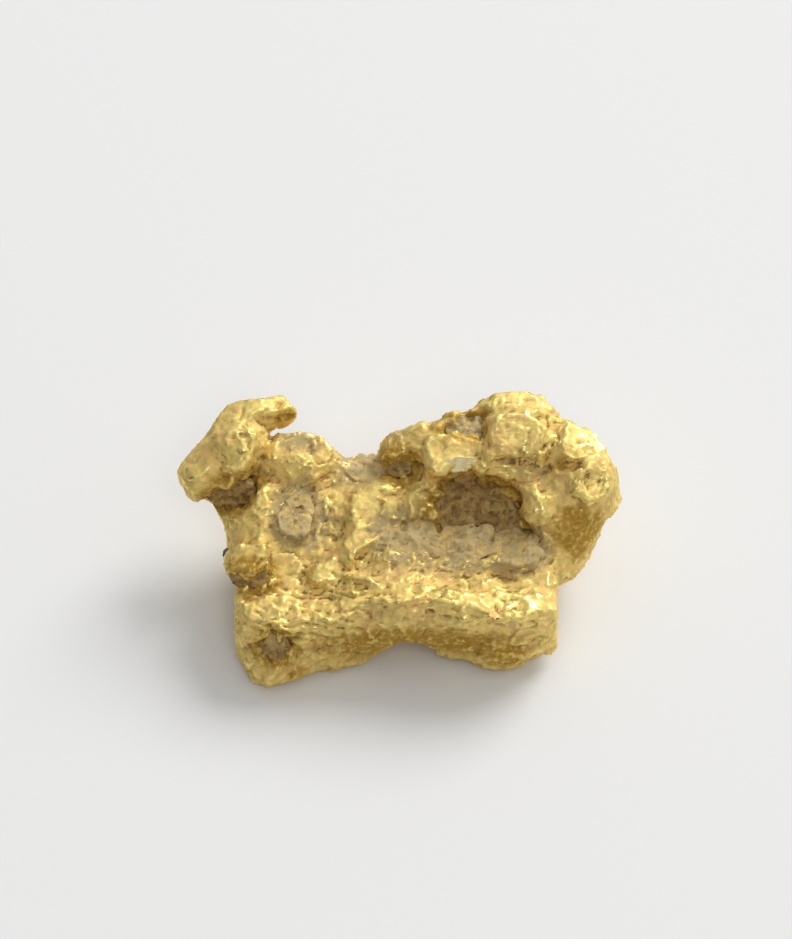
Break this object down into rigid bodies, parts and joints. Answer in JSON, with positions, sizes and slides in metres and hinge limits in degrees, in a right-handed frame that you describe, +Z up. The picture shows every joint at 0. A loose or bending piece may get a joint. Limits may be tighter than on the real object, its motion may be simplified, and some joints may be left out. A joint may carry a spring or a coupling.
{
  "type": "natural gold nugget",
  "caption": "Small natural gold nugget with a hooked horn, a pitted lobe and a crested ledge, with minerals lodged in its hollows.",
  "frame": {"origin": "on the ground the nugget rests on, under the middle of its width and depth", "axes": "+X along the longest side from the horn to the pitted lobe; +Y from the ledge to the back; +Z up"},
  "size_m": [0.007, 0.0042, 0.0027],
  "materials": {
    "native_gold": "native gold, worn satin with small bright facets and brown iron stain in the hollows",
    "dark_ironstone": "dull dark brown iron oxide",
    "grey_ironstone": "dull grey-brown iron oxide and silt",
    "packed_clay": "dull beige-grey packed clay",
    "quartz": "pale translucent quartz, half gloss",
    "magnetite": "black, faintly metallic"
  },
  "bodies": {
    "root": {"gold_body": "native_gold", "ironstone_main_pit": "dark_ironstone", "ironstone_upper_hollow": "grey_ironstone", "ironstone_pocket": "dark_ironstone", "ironstone_under_horn": "dark_ironstone", "ironstone_left_gap": "dark_ironstone", "ironstone_foot_pit": "dark_ironstone", "clay_groove_left": "packed_clay", "clay_groove_middle": "packed_clay", "clay_groove_right": "packed_clay", "clay_saddle": "packed_clay", "clay_left_flank": "packed_clay", "quartz_on_block": "quartz", "black_sand_grain": "magnetite"}
  },
  "joints": []
}
